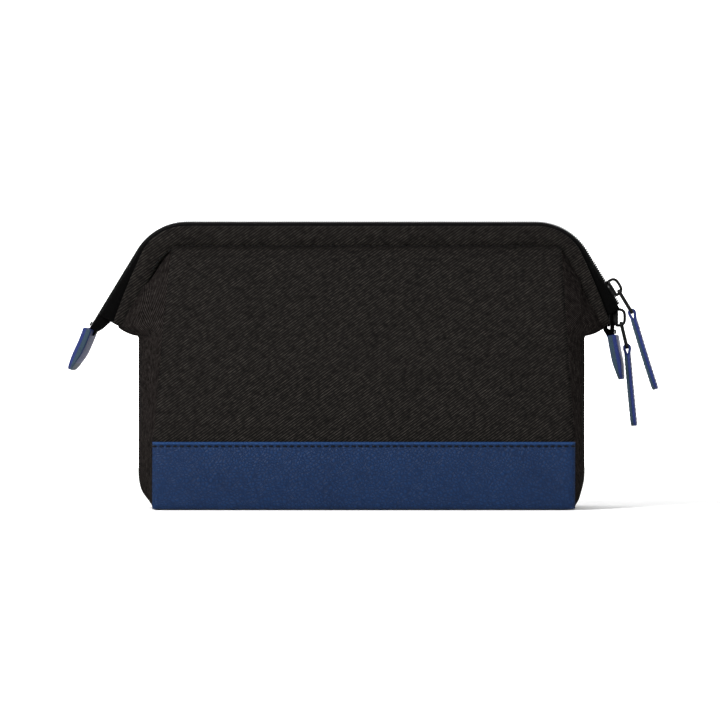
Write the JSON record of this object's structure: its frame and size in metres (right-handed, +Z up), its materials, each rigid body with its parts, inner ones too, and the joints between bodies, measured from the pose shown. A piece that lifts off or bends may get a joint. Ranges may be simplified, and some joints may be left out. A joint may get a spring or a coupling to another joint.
{
  "type": "shaving kit bag",
  "caption": "Framed-mouth wash bag of woven cloth with a leather base band, a zipper over the sprung arch, two sliders with leather pulls and folded leather end tabs.",
  "frame": {"origin": "centre of the base's underside", "axes": "+X along the zipper to the end where the sliders rest, -Y out of the front panel, +Z up"},
  "size_m": [0.3432, 0.1238, 0.167],
  "materials": {
    "woven_fabric": "matte",
    "navy_leather": "satin",
    "zipper_tape": "matte",
    "nylon_coil": "satin",
    "black_metal": "satin",
    "spring_steel": "brushed",
    "lining_cloth": "matte",
    "stiffener_board": "matte"
  },
  "bodies": {
    "bag_body": {"leather_base": "navy_leather", "leather_band_front": "navy_leather", "leather_band_rear": "navy_leather", "base_board": "stiffener_board", "front_panel": "woven_fabric", "rear_panel": "woven_fabric", "side_panel_left": "woven_fabric", "side_panel_right": "woven_fabric", "front_shoulder": "woven_fabric", "rear_shoulder": "woven_fabric", "lining_sack": "lining_cloth", "lining_shoulder_front": "lining_cloth", "lining_shoulder_rear": "lining_cloth", "gusset_front_left": "woven_fabric", "gusset_front_right": "woven_fabric", "gusset_rear_left": "woven_fabric", "gusset_rear_right": "woven_fabric", "zip_end_left": "zipper_tape", "zip_end_right": "zipper_tape", "zip_stops": "black_metal"},
    "front_mouth": {"facing_front": "woven_fabric", "frame_strip_front": "spring_steel", "zip_tape_front": "zipper_tape", "zip_coil_front": "nylon_coil"},
    "rear_mouth": {"facing_rear": "woven_fabric", "frame_strip_rear": "spring_steel", "zip_tape_rear": "zipper_tape", "zip_coil_rear": "nylon_coil"},
    "upper_slider_body": {"upper_slider": "black_metal"},
    "lower_slider_body": {"lower_slider": "black_metal"},
    "upper_puller_body": {"upper_puller": "black_metal"},
    "lower_puller_body": {"lower_puller": "black_metal"},
    "upper_pull_body": {"upper_pull": "navy_leather"},
    "lower_pull_body": {"lower_pull": "navy_leather"},
    "left_tab_body": {"left_tab": "navy_leather"},
    "right_tab_body": {"right_tab": "navy_leather"}
  },
  "joints": [
    {"name": "front_mouth_swing", "type": "hinge", "parent": "bag_body", "child": "front_mouth", "pos_m": [0, 0, 0.114], "axis": [1, 0, 0], "range_deg": [0, 40], "deforming": ["front_shoulder", "lining_shoulder_front", "gusset_front_left", "gusset_front_right", "zip_tape_front", "zip_coil_front"]},
    {"name": "rear_mouth_swing", "type": "hinge", "parent": "bag_body", "child": "rear_mouth", "pos_m": [0, 0, 0.114], "axis": [1, 0, 0], "range_deg": [-40, 0], "deforming": ["rear_shoulder", "lining_shoulder_rear", "gusset_rear_left", "gusset_rear_right", "zip_tape_rear", "zip_coil_rear"]},
    {"name": "upper_slider_run", "type": "slide", "parent": "front_mouth", "child": "upper_slider_body", "axis": [-0.5195, 0, 0.8545], "range_m": [0, 0.012], "deforming": ["upper_pull"]},
    {"name": "lower_slider_run", "type": "slide", "parent": "bag_body", "child": "lower_slider_body", "axis": [0, 0, -1], "range_m": [0, 0.0015]},
    {"name": "upper_puller_swing", "type": "hinge", "parent": "upper_slider_body", "child": "upper_puller_body", "pos_m": [0.15038, 0, 0.12664], "axis": [0, -1, 0], "range_deg": [0, 150]},
    {"name": "lower_puller_swing", "type": "hinge", "parent": "lower_slider_body", "child": "lower_puller_body", "pos_m": [0.15178, 0, 0.1079], "axis": [0, -1, 0], "range_deg": [0, 90], "deforming": ["upper_pull"]},
    {"name": "upper_pull_swing", "type": "hinge", "parent": "upper_puller_body", "child": "upper_pull_body", "pos_m": [0.15818, 0, 0.11382], "axis": [0, -1, 0], "range_deg": [-10, 60]},
    {"name": "lower_pull_swing", "type": "hinge", "parent": "lower_puller_body", "child": "lower_pull_body", "pos_m": [0.1553, 0, 0.09332], "axis": [0, -1, 0], "range_deg": [-5, 60], "deforming": ["upper_pull"]},
    {"name": "left_tab_flex", "type": "hinge", "parent": "bag_body", "child": "left_tab_body", "pos_m": [-0.15916, 0, 0.10219], "axis": [0, 1, 0], "range_deg": [-25, 50]},
    {"name": "right_tab_flex", "type": "hinge", "parent": "bag_body", "child": "right_tab_body", "pos_m": [0.14658, 0, 0.0982], "axis": [0, -1, 0], "range_deg": [-25, 0]}
  ],
  "couplings": [
    {"joint": "rear_mouth_swing", "follows": "front_mouth_swing", "ratio": -1}
  ]
}
